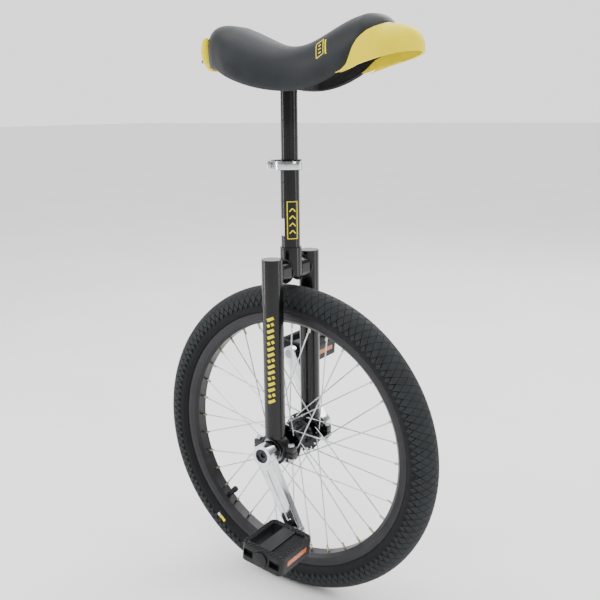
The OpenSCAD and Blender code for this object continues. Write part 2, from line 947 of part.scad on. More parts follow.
// The base's outer form: the hollow under the padding, open below
module base_form(inset, drop) {
    arch_body([for (x = stations(pad_x0 + pad_side + 8 + inset, pad_x1 - pad_side - 8 - inset))
        [x, max(5, pad_half_w(x) - pad_side - inset), pad_low_z(x) - drop,
         pad_top_z(x) - pad_t - inset]]);
}

// Everything below the base's lower edge, which stops short of the padding's
module base_skirt_cut() {
    translate([0, 0, base_lift])
        difference() {
            translate([-200, -100, saddle_low - 100])
                cube([400, 200, 200]);
            pad_form();
        }
}

module saddle_pad() {
    color("#3a4045")
        at_axle()
            difference() {
                pad_form();
                base_form(0, 5);
            }
}

module saddle_base() {
    color("#1d1e21")
        at_axle()
            difference() {
                union() {
                    difference() {
                        base_form(0.3, 5);
                        base_form(0.3 + base_t, 8);
                        base_skirt_cut();
                    }
                    intersection() {
                        base_form(0.8, 5);
                        for (i = [-1, 1], j = [-1, 1])
                            translate([i * stud_x, j * stud_y, plate_z + plate_t])
                                cylinder(h = 60, r = 6.5, $fn = 24);
                    }
                }
                for (i = [-1, 1], j = [-1, 1])
                    translate([i * stud_x, j * stud_y, plate_z])
                        cylinder(h = plate_t + 3, r = 3.1, $fn = 24);
            }
}

// Outline, in side view, of what the handle leaves bare on the saddle's nose
bare_outline = [[90, 18], [108, 24], [122, 30], [128, 40], [131, 52], [138, 65], [150, 76],
                [168, 83], [190, 86], [205, 130], [90, 130]];

module front_handle() {
    x0 = 106;
    x1 = tip_x + handle_half_w - 0.3;
    color("#f6e13a")
        at_axle()
            difference() {
                arch_body([for (x = stations(x0, x1))
                    [x, handle_half(x), handle_low_z(x), handle_top_z(x)]]);
                arch_body([for (x = stations(x0 - 2, x1 - handle_t))
                    [x, max(1, handle_half(x + 1) - handle_t), handle_low_z(x) - 5,
                     handle_top_z(x) - handle_t]]);
                translate([0, 100, saddle_low])
                    rotate([90, 0, 0])
                        linear_extrude(200)
                            polygon(bare_outline);
                pad_form(0.4);
            }
}

module rear_bumper() {
    gap = 0.4;
    color("#f6e13a")
        at_axle()
            translate([rear_x, 0, 0])
                rotate([0, 0, 180 - 40])
                    rotate_extrude(angle = 80, $fn = 128)
                        polygon([[rear_half_w + gap, bumper_low], [rear_half_w + 5, bumper_low],
                                 [rear_half_w + 9, bumper_low + 10],
                                 [rear_half_w + 9, bumper_low + 26],
                                 [rear_half_w + 5, bumper_top], [rear_half_w + gap, bumper_top]]);
}

module bumper_screws() {
    color("#9a9da2")
        at_axle()
            translate([rear_x, 0, bumper_low + 12])
                for (a = [-22, 22])
                    rotate([0, 0, 180 + a])
                        rotate([0, 90, 0])
                            translate([0, 0, rear_half_w + 9])
                                cylinder(h = 1.2, r = 3, $fn = 24);
}

module saddle_studs() {
    color("#9a9da2")
        at_axle()
            for (i = [-1, 1], j = [-1, 1])
                translate([i * stud_x, j * stud_y, plate_z - 9])
                    cylinder(h = plate_t + 12, r = 3, $fn = 32);
}

module saddle_nuts() {
    color("#9a9da2")
        at_axle()
            for (i = [-1, 1], j = [-1, 1])
                translate([i * stud_x, j * stud_y, plate_z - 6.5])
                    difference() {
                        cylinder(h = 5, r = 5.6, $fn = 6);
                        translate([0, 0, -1])
                            cylinder(h = 7, r = 3 + weld, $fn = 32);
                    }
}

module saddle_washers() {
    color("#9a9da2")
        at_axle()
            for (i = [-1, 1], j = [-1, 1])
                translate([i * stud_x, j * stud_y, plate_z - 1.5])
                    difference() {
                        cylinder(h = 1.5, r = 6.2, $fn = 32);
                        translate([0, 0, -1])
                            cylinder(h = 4, r = 3 + weld, $fn = 32);
                    }
}

// ---- nodes ---------------------------------------------------------------

tyre();
inner_tube();
rim();
rim_tape();
spokes_right();
spokes_left();
nipples();
valve_stem();
valve_cap();
hub_shell();
axle();
axle_spacers();
bearing_inner_races();
bearing_balls();
bearing_outer_races();
bearing_seals();
crank(-1);  // crank_right
crank(1);  // crank_left
crank_bolts();
pedal_spindle(-1);  // pedal_spindle_right
pedal_spindle(1);  // pedal_spindle_left
pedal_locknuts();
pedal_body(-1);  // pedal_body_right
pedal_body(1);  // pedal_body_left
pedal_end_cap(-1);  // pedal_end_cap_right
pedal_end_cap(1);  // pedal_end_cap_left
pedal_reflectors(-1);  // pedal_reflectors_right
pedal_reflectors(1);  // pedal_reflectors_left
fork_leg(-1);  // fork_leg_right
fork_leg(1);  // fork_leg_left
leg_caps();
crown_tubes();
crown_sleeve();
seat_tube();
bearing_holder(-1);  // bearing_holder_right
bearing_holder(1);  // bearing_holder_left
bearing_cap(-1);  // bearing_cap_right
bearing_cap(1);  // bearing_cap_left
holder_bolts();
holder_nuts();
clamp_collar();
clamp_bolt();
clamp_nut();
clamp_lever();
clamp_washer();
lever_pin();
seat_post();
seat_plate();
saddle_base();
saddle_pad();
front_handle();
rear_bumper();
saddle_studs();
saddle_nuts();
saddle_washers();
bumper_screws();
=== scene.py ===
import math

import bpy
from mathutils import Matrix, Vector
from mathutils.bvhtree import BVHTree


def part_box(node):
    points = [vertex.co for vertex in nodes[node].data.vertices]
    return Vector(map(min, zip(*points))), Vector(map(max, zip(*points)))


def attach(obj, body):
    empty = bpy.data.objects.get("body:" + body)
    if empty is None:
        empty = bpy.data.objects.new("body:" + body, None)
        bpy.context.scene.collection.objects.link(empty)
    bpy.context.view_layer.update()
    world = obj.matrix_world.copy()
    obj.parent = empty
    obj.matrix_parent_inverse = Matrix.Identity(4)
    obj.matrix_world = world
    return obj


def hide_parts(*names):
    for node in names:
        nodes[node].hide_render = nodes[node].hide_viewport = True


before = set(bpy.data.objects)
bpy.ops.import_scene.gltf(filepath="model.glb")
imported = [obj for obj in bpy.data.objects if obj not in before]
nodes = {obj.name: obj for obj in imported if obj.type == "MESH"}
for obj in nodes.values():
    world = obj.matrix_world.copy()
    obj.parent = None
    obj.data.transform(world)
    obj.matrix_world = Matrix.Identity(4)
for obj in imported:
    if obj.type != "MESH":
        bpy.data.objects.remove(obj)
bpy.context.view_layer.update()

MM = 0.001

# ---- places, read from the frame ------------------------------------------

tyre_low, tyre_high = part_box("tyre")
TYRE_R = (tyre_high.x - tyre_low.x) / 2
TYRE_HALF_W = tyre_high.y
AXLE_Z = (tyre_high.z + tyre_low.z) / 2
AXLE = Vector((0, 0, AXLE_Z))
RIM_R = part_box("rim")[1].x
pad_low, pad_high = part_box("saddle_pad")
handle_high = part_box("front_handle")[1]


# ---- helpers --------------------------------------------------------------

def deselect():
    if bpy.context.mode != "OBJECT":
        bpy.ops.object.mode_set(mode="OBJECT")
    bpy.ops.object.select_all(action="DESELECT")


def make_active(piece):
    deselect()
    piece.select_set(True)
    bpy.context.view_layer.objects.active = piece
    return piece


def named(name):
    piece = bpy.context.active_object
    piece.name = name
    piece.data.name = name
    return piece


def settle(piece):
    """Puts the piece's place into its mesh, so that its object sits at the origin."""
    make_active(piece)
    bpy.ops.object.transform_apply(location=True, rotation=True, scale=True)
    return piece


def modified(piece, kind, **settings):
    """Adds a modifier with its settings and applies it."""
    make_active(piece)
    modifier = piece.modifiers.new(kind.title(), kind)
    for key, value in settings.items():
        setattr(modifier, key, value)
    bpy.ops.object.modifier_apply(modifier=modifier.name)
    return piece


def smooth(piece, angle=35):
    make_active(piece)
    bpy.ops.object.shade_smooth_by_angle(angle=math.radians(angle))
    return piece


def from_faces(name, points, faces):
    """A piece whose points are worked out by formula, with the faces between them."""
    mesh = bpy.data.meshes.new(name)
    mesh.from_pydata(points, [], faces)
    mesh.validate()
    piece = bpy.data.objects.new(name, mesh)
    bpy.context.scene.collection.objects.link(piece)
    return piece


def lattice(lines, count, round_lines=False, round_count=False, first=0):
    """The faces between neighbouring points that are laid out as lines of count points."""
    return [(first + k * count + i, first + k * count + (i + 1) % count,
             first + (k + 1) % lines * count + (i + 1) % count,
             first + (k + 1) % lines * count + i)
            for k in range(lines if round_lines else lines - 1)
            for i in range(count if round_count else count - 1)]


def side_name(side):
    return "left" if side > 0 else "right"


def tidy_mesh(piece, merge=0.00002):
    """Merges doubles and turns every face outwards."""
    make_active(piece)
    bpy.ops.object.mode_set(mode="EDIT")
    bpy.ops.mesh.select_all(action="SELECT")
    bpy.ops.mesh.remove_doubles(threshold=merge)
    bpy.ops.mesh.normals_make_consistent(inside=False)
    bpy.ops.object.mode_set(mode="OBJECT")
    return piece


def finished(piece, body, material, replaces=()):
    """Gives a new piece its finish and its body, and hides what it stands for."""
    piece.data.materials.clear()
    piece.data.materials.append(material)
    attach(piece, body)
    if replaces:
        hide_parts(*replaces)
    return piece


def rounded_copy(node, name, body, material, width, angle=40):
    """A copy of a CAD part with its sharp edges broken, as casting or forging leaves them."""
    piece = nodes[node].copy()
    piece.data = nodes[node].data.copy()
    piece.parent = None
    for key in list(piece.keys()):
        del piece[key]
    piece.name = name
    bpy.context.scene.collection.objects.link(piece)
    make_active(piece)
    piece.data.materials.clear()
    bpy.ops.object.mode_set(mode="EDIT")
    bpy.ops.mesh.select_all(action="SELECT")
    bpy.ops.mesh.remove_doubles(threshold=0.00001)
    bpy.ops.mesh.customdata_custom_splitnormals_clear()
    bpy.ops.mesh.dissolve_limited(angle_limit=math.radians(1))
    bpy.ops.object.mode_set(mode="OBJECT")
    modified(piece, "BEVEL", width=width * MM, segments=3, limit_method="ANGLE",
             angle_limit=math.radians(angle), harden_normals=False)
    smooth(piece, 40)
    return finished(piece, body, material, (node,))


# ---- materials ------------------------------------------------------------

def linear(hex_code):
    """An sRGB hex colour as linear RGBA."""
    channels = [int(hex_code[i:i + 2], 16) / 255 for i in (1, 3, 5)]
    return tuple(c / 12.92 if c <= 0.04045 else ((c + 0.055) / 1.055) ** 2.4
                 for c in channels) + (1,)


def add(tree, kind, links=(), **settings):
    """Adds one node. Links are (from socket, to input name or number)."""
    node = tree.nodes.new(kind)
    for key, value in settings.items():
        if key.startswith("in_"):
            name = key[3:].replace("_", " ")
            found = [s for s in node.inputs if s.name.lower() == name.lower()]
            found[0].default_value = value
        else:
            setattr(node, key, value)
    for source, target in links:
        tree.links.new(source, node.inputs[target])
    return node


def finish(name, color, **shader):
    """A material with its shader's own constants set; returns it, its tree and its shader."""
    material = bpy.data.materials.new(name)
    material.use_nodes = True
    tree = material.node_tree
    surface = tree.nodes["Principled BSDF"]
    surface.inputs["Base Color"].default_value = linear(color)
    for key, value in shader.items():
        surface.inputs[key.replace("_", " ").title().replace("Ior", "IOR")].default_value = value
    return material, tree, surface


def object_place(tree):
    return add(tree, "ShaderNodeTexCoord").outputs["Object"]


def mottled(tree, surface, place, size_mm, dark, light, detail=3):
    """Colour that drifts between two tones, in patches of the size given."""
    noise = add(tree, "ShaderNodeTexNoise", [(place, "Vector")],
                in_scale=1 / (size_mm * MM), in_detail=detail)
    ramp = add(tree, "ShaderNodeValToRGB", [(noise.outputs["Fac"], "Fac")])
    ramp.color_ramp.elements[0].color = linear(dark)
    ramp.color_ramp.elements[1].color = linear(light)
    ramp.color_ramp.elements[0].position = 0.3
    ramp.color_ramp.elements[1].position = 0.7
    tree.links.new(ramp.outputs["Color"], surface.inputs["Base Color"])
    return noise


def rough_range(tree, surface, source, low, high):
    ranged = add(tree, "ShaderNodeMapRange", [(source, "Value")],
                 in_from_min=0.3, in_from_max=0.7, in_to_min=low, in_to_max=high)
    tree.links.new(ranged.outputs["Result"], surface.inputs["Roughness"])


def grain(tree, surface, place, size_mm, depth_mm, strength=0.5, kind="ShaderNodeTexNoise"):
    """Fine relief of a real size."""
    texture = add(tree, kind, [(place, "Vector")], in_scale=1 / (size_mm * MM))
    height = texture.outputs["Fac"] if "Fac" in texture.outputs else texture.outputs["Distance"]
    bump = add(tree, "ShaderNodeBump", [(height, "Height")],
               in_strength=strength, in_distance=depth_mm * MM)
    tree.links.new(bump.outputs["Normal"], surface.inputs["Normal"])
    return bump


def gloss_paint(name, color, dark):
    # Baked gloss enamel over steel: deep black, with a clear coat that mirrors the lights
    # and a faint orange peel that ripples their edges.
    material, tree, surface = finish(name, color, coat_weight=0.3, coat_roughness=0.05,
                                     specular_ior_level=0.2)
    place = object_place(tree)
    noise = mottled(tree, surface, place, 40, dark, color)
    rough_range(tree, surface, noise.outputs["Fac"], 0.24, 0.3)
    grain(tree, surface, place, 7, 0.02, 0.12)
    return material


def satin_anodised(name):
    # Anodised extruded aluminium: a grey-black satin with fine lines left by the die.
    material, tree, surface = finish(name, "#232326", metallic=0.4)
    place = object_place(tree)
    noise = mottled(tree, surface, place, 25, "#1c1c1f", "#28282b")
    rough_range(tree, surface, noise.outputs["Fac"], 0.34, 0.46)
    grain(tree, surface, place, 0.9, 0.03, 0.2)
    return material


def bright_metal(name, light, dark, low, high, scratch_mm=1.2):
    # Polished or plated metal: mirror-like, with hairline polishing marks that soften it.
    material, tree, surface = finish(name, light, metallic=1.0)
    place = object_place(tree)
    noise = mottled(tree, surface, place, 12, dark, light)
    rough_range(tree, surface, noise.outputs["Fac"], low, high)
    stretched = add(tree, "ShaderNodeMapping", [(place, "Vector")], in_scale=(1, 1, 0.12))
    grain(tree, surface, stretched.outputs["Vector"], scratch_mm, 0.01, 0.15)
    return material


def moulded_plastic(name, dark, light, low, high, size_mm=0.8, depth_mm=0.04, coat=0.0):
    # Injection-moulded plastic with a spark-eroded grain from the tool.
    material, tree, surface = finish(name, light, coat_weight=coat, specular_ior_level=0.25)
    place = object_place(tree)
    noise = mottled(tree, surface, place, 30, dark, light)
    rough_range(tree, surface, noise.outputs["Fac"], low, high)
    grain(tree, surface, place, size_mm, depth_mm, 0.4)
    return material


def tyre_rubber(name, dark, light):
    # Vulcanised rubber: charcoal, with the fine rings that the mould's turned walls leave
    # on the sidewall and a dusty bloom in patches.
    material, tree, surface = finish(name, light, specular_ior_level=0.2)
    place = object_place(tree)
    noise = mottled(tree, surface, place, 18, dark, light, 6)
    rough_range(tree, surface, noise.outputs["Fac"], 0.58, 0.78)
    centred = add(tree, "ShaderNodeMapping", [(place, "Vector")],
                  in_location=(0, 0, -AXLE_Z), in_scale=(1, 0, 1))
    radius = add(tree, "ShaderNodeVectorMath", [(centred.outputs["Vector"], 0)],
                 operation="LENGTH")
    turns = add(tree, "ShaderNodeMath", [(radius.outputs["Value"], 0)], operation="MULTIPLY")
    turns.inputs[1].default_value = 2 * math.pi / (2.4 * MM)
    rings = add(tree, "ShaderNodeMath", [(turns.outputs["Value"], 0)], operation="SINE")
    speck = add(tree, "ShaderNodeTexNoise", [(place, "Vector")], in_scale=1 / (1.1 * MM))
    height = add(tree, "ShaderNodeMath",
                 [(rings.outputs["Value"], 0), (speck.outputs["Fac"], 1)], operation="ADD")
    bump = add(tree, "ShaderNodeBump", [(height.outputs["Value"], "Height")],
               in_strength=0.3, in_distance=0.08 * MM)
    tree.links.new(bump.outputs["Normal"], surface.inputs["Normal"])
    return material


def saddle_vinyl():
    # Stretched synthetic leather over foam: slate grey, smooth, with a pebble too fine to
    # resolve that is drawn at 1.4 mm and spreads the highlight into a soft sheen.
    material, tree, surface = finish("stretched_vinyl", "#1b1f23", sheen_weight=0.04,
                                     specular_ior_level=0.3,
                                     sheen_roughness=0.45)
    place = object_place(tree)
    noise = mottled(tree, surface, place, 30, "#16191c", "#1f2327", 5)
    rough_range(tree, surface, noise.outputs["Fac"], 0.42, 0.54)
    grain(tree, surface, place, 1.4, 0.06, 0.25, "ShaderNodeTexVoronoi")
    return material


def yellow_moulding():
    # Moulded polypropylene, bright yellow.
    material, tree, surface = finish("moulded_polypropylene", "#e8d200", specular_ior_level=0.12)
    place = object_place(tree)
    noise = mottled(tree, surface, place, 45, "#e4ce00", "#ecd800")
    rough_range(tree, surface, noise.outputs["Fac"], 0.34, 0.44)
    grain(tree, surface, place, 0.9, 0.03, 0.2)
    return material


def amber_reflector():
    # Moulded acrylic prisms: amber, glossy, with a honeycomb of corner cubes behind it.
    material, tree, surface = finish("amber_acrylic", "#c06000", coat_weight=0.2)
    place = object_place(tree)
    cells = add(tree, "ShaderNodeTexVoronoi", [(place, "Vector")], in_scale=1 / (2.2 * MM))
    ramp = add(tree, "ShaderNodeValToRGB", [(cells.outputs["Distance"], "Fac")])
    ramp.color_ramp.elements[0].color = linear("#cf6a00")
    ramp.color_ramp.elements[1].color = linear("#a04600")
    tree.links.new(ramp.outputs["Color"], surface.inputs["Base Color"])
    grain(tree, surface, place, 2.2, 0.25, 0.5, "ShaderNodeTexVoronoi")
    surface.inputs["Roughness"].default_value = 0.2
    return material


PAINT = gloss_paint("black_enamel", "#0a0b0c", "#060707")
HUB_PAINT = gloss_paint("hub_enamel", "#0a0a0b", "#060606")
RUBBER = tyre_rubber("vulcanised_rubber", "#101112", "#191b1c")
# The casing's rubber drawn lighter: painted light on the tread blocks' faces, so the grooves
# between them read darker as painted shade.
TREAD_RUBBER_PAINTED_LIGHT = tyre_rubber("tread_rubber_painted_light", "#202324", "#2b2e30")
SOFT_RUBBER = moulded_plastic("moulded_rubber", "#0d0e0f", "#151617", 0.5, 0.65)
RIM_FINISH = satin_anodised("anodised_rim")
SPOKE_STEEL = bright_metal("drawn_stainless", "#d6d9de", "#bcc0c5", 0.18, 0.3)
BRASS = bright_metal("plated_brass", "#d2cab8", "#b9ab8a", 0.22, 0.35)
ALLOY = bright_metal("polished_aluminium", "#e4e5e8", "#c9cbd0", 0.1, 0.2)
ZINC = bright_metal("bright_zinc", "#c9cbd0", "#a4a8ad", 0.22, 0.36)
PLAIN_STEEL = bright_metal("turned_steel", "#a7aaaf", "#878a90", 0.25, 0.4)
DARK_STEEL = bright_metal("blackened_steel", "#4a4c50", "#35373a", 0.32, 0.45)
PEDAL_PLASTIC = moulded_plastic("filled_nylon", "#121314", "#1c1d1f", 0.4, 0.52)
BASE_PLASTIC = moulded_plastic("black_polypropylene", "#0c0d0e", "#141516", 0.45, 0.6)
VINYL = saddle_vinyl()
YELLOW = yellow_moulding()
AMBER = amber_reflector()
DECAL_YELLOW = moulded_plastic("printed_yellow_film", "#e6d200", "#f0dc00", 0.25, 0.35, 3, 0.01)
LABEL_WHITE = moulded_plastic("printed_white_film", "#dcdcda", "#eeeeec", 0.3, 0.4, 3, 0.01)

CAD_FINISHES = {
    "leg_caps": PAINT, "crown_sleeve": PAINT, "crown_tubes": PAINT, "seat_tube": PAINT,
    "fork_leg_right": PAINT, "fork_leg_left": PAINT, "seat_post": PAINT, "seat_plate": PAINT,
    "inner_tube": SOFT_RUBBER, "rim_tape": SOFT_RUBBER, "bearing_seals": SOFT_RUBBER,
    "rim": RIM_FINISH, "spokes_right": SPOKE_STEEL, "spokes_left": SPOKE_STEEL,
    "nipples": BRASS, "axle": PLAIN_STEEL, "axle_spacers": PLAIN_STEEL,
    "bearing_inner_races": PLAIN_STEEL, "bearing_outer_races": PLAIN_STEEL,
    "bearing_balls": PLAIN_STEEL, "pedal_spindle_right": PLAIN_STEEL,
    "pedal_spindle_left": PLAIN_STEEL, "pedal_locknuts": PLAIN_STEEL,
    "clamp_bolt": PLAIN_STEEL, "lever_pin": PLAIN_STEEL, "saddle_studs": PLAIN_STEEL,
    "saddle_nuts": ZINC, "saddle_washers": ZINC, "bumper_screws": ZINC,
    "clamp_nut": DARK_STEEL, "clamp_washer": DARK_STEEL, "saddle_base": BASE_PLASTIC,
    "pedal_reflectors_right": AMBER, "pedal_reflectors_left": AMBER,
}
for node_name, node_finish in CAD_FINISHES.items():
    part = nodes[node_name]
    part.data.materials.clear()
    part.data.materials.append(node_finish)


# ---- cast, forged and machined parts with broken edges ---------------------

ROUNDED = [
    ("crank_right", "wheel", "crank_alloy", ALLOY, 1.6),
    ("crank_left", "wheel", "crank_alloy", ALLOY, 1.6),
    ("clamp_lever", "lever", "crank_alloy", ALLOY, 0.6),
    ("clamp_collar", "clamp", "frame_black", PAINT, 0.7),
    ("hub_shell", "wheel", "hub_black", HUB_PAINT, 0.4),
    ("bearing_holder_right", "frame", "frame_black", HUB_PAINT, 0.8),
    ("bearing_holder_left", "frame", "frame_black", HUB_PAINT, 0.8),
    ("bearing_cap_right", "frame", "frame_black", HUB_PAINT, 0.8),
    ("bearing_cap_left", "frame", "frame_black", HUB_PAINT, 0.8),
    ("pedal_body_right", "pedal_right", "pedal_plastic", PEDAL_PLASTIC, 1.0),
    ("pedal_body_left", "pedal_left", "pedal_plastic", PEDAL_PLASTIC, 1.0),
    ("pedal_end_cap_right", "pedal_right", "pedal_plastic", PEDAL_PLASTIC, 0.8),
    ("pedal_end_cap_left", "pedal_left", "pedal_plastic", PEDAL_PLASTIC, 0.8),
    ("holder_bolts", "frame", "zinc_bolts", ZINC, 0.35),
    ("holder_nuts", "frame", "zinc_bolts", ZINC, 0.35),
    ("crank_bolts", "wheel", "dark_steel", DARK_STEEL, 0.4),
    ("valve_stem", "wheel", "tube_rubber", SOFT_RUBBER, 0.5),
    ("valve_cap", "wheel", "tube_rubber", SOFT_RUBBER, 1.0),
]
for node_name, body, slot, material, width in ROUNDED:
    rounded_copy(node_name, node_name + "_finished", body, material, width)


# ---- tyre -------------------------------------------------------------------

CARCASS_R = TYRE_HALF_W
CARCASS_MID = TYRE_R - CARCASS_R
TREAD_DEPTH = 2.2 * MM
TREAD_PITCHES = 126
BLOCK_LONG, BLOCK_WIDE = 12.3, 19.6  # one tread block over its tips, in mm
BEAD_HALF = 14 * MM
BEAD_FOOT = RIM_R - 7 * MM
BEAD_WALL = 3 * MM
CASING_WALL = 3.2 * MM
RIM_GAP = 0.4 * MM
LINING_R = RIM_R + 1 * MM


def carcass_radius(angle):
    """Casing's radius at an angle from the crown; the tread's depth is left off the crown."""
    share = max(0.0, min(1.0, (math.radians(108) - abs(angle)) / math.radians(14)))
    rib = 0.8 * MM * math.exp(-((math.degrees(abs(angle)) - 117) / 2.5) ** 2)
    return CARCASS_R - TREAD_DEPTH * share - 0.6 * MM * (1 - share) + rib


def tyre_body():
    """The casing: its section, outside and in, swept round the axle."""
    edge = math.acos(-(CARCASS_MID - RIM_R - RIM_GAP) / CARCASS_R)
    steps = 56
    section = []
    for i in range(steps + 1):
        angle = -edge + 2 * edge * i / steps
        r = carcass_radius(angle)
        section.append((CARCASS_MID + r * math.cos(angle), r * math.sin(angle)))
    bead = [(RIM_R + RIM_GAP, BEAD_HALF), (BEAD_FOOT, BEAD_HALF),
            (BEAD_FOOT, BEAD_HALF - BEAD_WALL), (LINING_R, BEAD_HALF - BEAD_WALL)]
    section += bead
    for i in range(21):
        angle = edge * 0.95 * (1 - i / 10)
        r = CARCASS_R - CASING_WALL
        section.append((CARCASS_MID + r * math.cos(angle), r * math.sin(angle)))
    section += [(r, -y) for r, y in reversed(bead)]
    turns = 192
    points = []
    for k in range(turns):
        a = 2 * math.pi * k / turns
        for r, y in section:
            points.append((r * math.cos(a), y, AXLE_Z + r * math.sin(a)))
    return tidy_mesh(from_faces("tyre_casing", points,
                                lattice(turns, len(section), True, True)))


def tread_block(row_degrees, shift, long_mm, wide_mm):
    """One raised lozenge whose face follows the crown; returns its points and faces."""
    cuts = 9
    points = []
    for height, spread in ((-0.4, 1.0), (-0.45, 0.97), (0, 0.86)):
        for i in range(cuts):
            c = 2 * i / (cuts - 1) - 1
            across = math.radians(row_degrees) + c * spread * wide_mm * MM / 2 / CARCASS_R
            base = carcass_radius(across) if height < 0 and spread == 1.0 else CARCASS_R
            top = base + height * MM
            r = CARCASS_MID + top * math.cos(across)
            for sign in (-1, 1):
                half = sign * (1.04 - abs(c)) * spread * long_mm * MM / 2
                a = (shift + half) / TYRE_R
                points.append((r * math.cos(a), top * math.sin(across),
                               AXLE_Z + r * math.sin(a)))
    ring = 2 * cuts
    edge = list(range(0, ring, 2)) + list(range(ring - 1, 0, -2))
    faces = []
    for low, up in ((0, ring), (ring, 2 * ring)):
        faces += [(low + i, low + j, up + j, up + i) for i, j in zip(edge, edge[1:] + edge[:1])]
    for i in range(0, ring - 2, 2):
        faces.append((2 * ring + i, 2 * ring + i + 1, 2 * ring + i + 3, 2 * ring + i + 2))
        faces.append((i, i + 2, i + 3, i + 1))
    return points, faces


def tyre_tread():
    """One pitch of blocks from wall to wall, copied round the axle."""
    pitch = 2 * math.pi * TYRE_R / TREAD_PITCHES
    rows = [(0, 0, BLOCK_LONG, BLOCK_WIDE)]
    for side in (1, -1):
        rows += [(24 * side, pitch / 2, BLOCK_LONG, BLOCK_WIDE),
                 (48 * side, 0, BLOCK_LONG, BLOCK_WIDE),
                 (72 * side, pitch / 2, 11.8, BLOCK_WIDE), (92 * side, 0, 9.0, 13.0)]
    points, faces = [], []
    for row in rows:
        new_points, new_faces = tread_block(*row)
        faces += [tuple(len(points) + i for i in face) for face in new_faces]
        points += new_points
    tread = tidy_mesh(from_faces("tyre_tread", points, faces), 0.000001)
    make_active(tread)
    bpy.ops.object.mode_set(mode="EDIT")
    bpy.ops.mesh.select_all(action="SELECT")
    bpy.ops.mesh.spin(steps=TREAD_PITCHES, dupli=True, angle=2 * math.pi,
                      use_auto_merge=False, center=AXLE, axis=(0, 1, 0))
    bpy.ops.object.mode_set(mode="OBJECT")
    return tread


casing = smooth(tyre_body(), 50)
finished(casing, "wheel", RUBBER, ("tyre",))
tread = smooth(tyre_tread(), 25)
# The blocks take the lighter copy of the rubber: painted light on the tread.
finished(tread, "wheel", TREAD_RUBBER_PAINTED_LIGHT)


# ---- saddle ------------------------------------------------------------------

def z_on_axle(mm):
    return AXLE_Z + mm * MM


def ease(u):
    u = min(1, max(0, u))
    return (1 - math.cos(math.pi * u)) / 2


SPINE_BACK = -76 * MM
SPINE_FRONT = 134 * MM
REAR_R = SPINE_BACK - pad_low.x
NOSE_R = pad_high.x - SPINE_FRONT
TIP_X = 166 * MM
TIP_R = handle_high.x - TIP_X
DIP_X = 20 * MM
NOSE_DROP = 10 * MM
COVER_WALL = 7 * MM
HANDLE_WALL = 4 * MM
LOW_Z = pad_low.z
TOP_Z = pad_high.z


def crown_z(x):
    """Height of the saddle's ridge along its length."""
    dip = z_on_axle(605.4)
    if x < -111 * MM or x > 145 * MM:
        return TOP_Z - 0.001
    if x < DIP_X:
        return dip + (TOP_Z - 0.001 - dip) * ease((DIP_X - x) / (131 * MM))
    return dip + (TOP_Z - 0.001 - dip) * ease((x - DIP_X) / (125 * MM))


def skirt_z(x):
    """Height of the cover's lower edge along the saddle."""
    m = x / MM
    if m < -98:
        return LOW_Z + (33.3 + 0.06 * (-98 - m)) * MM
    if m < 25:
        return LOW_Z + 0.0022 * (m - 25) ** 2 * MM
    if m < 112:
        return LOW_Z + 0.0035 * (m - 25) ** 2 * MM
    return LOW_Z + min(50, 26.5 + 0.9 * (m - 112)) * MM


def half_width(x):
    waist = NOSE_R
    if x < 40 * MM:
        return waist + (REAR_R - waist) * (1 - ease((x - SPINE_BACK) / (124 * MM)))
    return waist


def outline(back_x, front_x, back_r, front_r, width, side_steps, end_steps):
    """Points of a plan outline with the spine point that each one belongs to."""
    found = []
    for i in range(side_steps):
        x = back_x + (front_x - back_x) * i / side_steps
        found.append((Vector((x, 0, 0)), Vector((x, width(x), 0)), 0.0))
    for i in range(end_steps):
        a = math.pi / 2 - math.pi * i / end_steps
        found.append((Vector((front_x, 0, 0)),
                      Vector((front_x + front_r * math.cos(a), front_r * math.sin(a), 0)),
                      math.cos(a)))
    for i in range(side_steps):
        x = front_x + (back_x - front_x) * i / side_steps
        found.append((Vector((x, 0, 0)), Vector((x, -width(x), 0)), 0.0))
    for i in range(end_steps):
        a = -math.pi / 2 - math.pi * i / end_steps
        found.append((Vector((back_x, 0, 0)),
                      Vector((back_x + back_r * math.cos(a), back_r * math.sin(a), 0)),
                      -math.cos(a)))
    return found


def dome(share, power):
    return max(0.0, 1 - share ** power) ** (1 / power)


def saddle_cover():
    """The padded cover: one crowned skin from its lower edge, all round, to the ridge."""
    rays = outline(SPINE_BACK, SPINE_FRONT, REAR_R, NOSE_R, half_width, 40, 26)
    rings = 20
    points = []
    for ring in range(rings + 1):
        share = math.cos(math.pi / 2 * (ring / rings) ** 0.9)
        for spine, edge, endness in rays:
            power = 2.6 + 1.7 * endness
            place = spine + (edge - spine) * share
            foot, crown = skirt_z(edge.x), crown_z(place.x)
            if endness > 0 and edge.x > 0:
                crown -= NOSE_DROP * endness * share ** 3
            tuck = 0.05 * max(0, 1 - ring / 3) ** 2
            place = spine + (edge - spine) * share * (1 - tuck)
            points.append((place.x, place.y, foot + (crown - foot) * dome(share, power)))
    faces = lattice(rings + 1, len(rays), round_count=True)
    cover = tidy_mesh(from_faces("saddle_cover", points, faces), 0.0002)
    modified(cover, "SOLIDIFY", thickness=COVER_WALL, offset=-1, use_even_offset=True)
    modified(cover, "SUBSURF", levels=1, render_levels=1)
    return smooth(cover, 60)


cover = saddle_cover()
finished(cover, "saddle", VINYL, ("saddle_pad",))


def bare_z(x):
    """Lower edge, in side view, of what the handle leaves bare on the nose."""
    steps = [(106, 22), (118, 27), (126, 34), (130, 44), (134, 56), (141, 67), (152, 76),
             (166, 82), (170, 85), (174, 200)]
    m = x / MM
    for (x0, z0), (x1, z1) in zip(steps, steps[1:]):
        if m <= x1:
            u = max(0, (m - x0) / (x1 - x0))
            return LOW_Z + (z0 + (z1 - z0) * u) * MM
    return TOP_Z + 1


def handle_foot(x):
    m = x / MM - 118
    return LOW_Z + (26 + 0.3 * m - 0.0006 * m * m) * MM


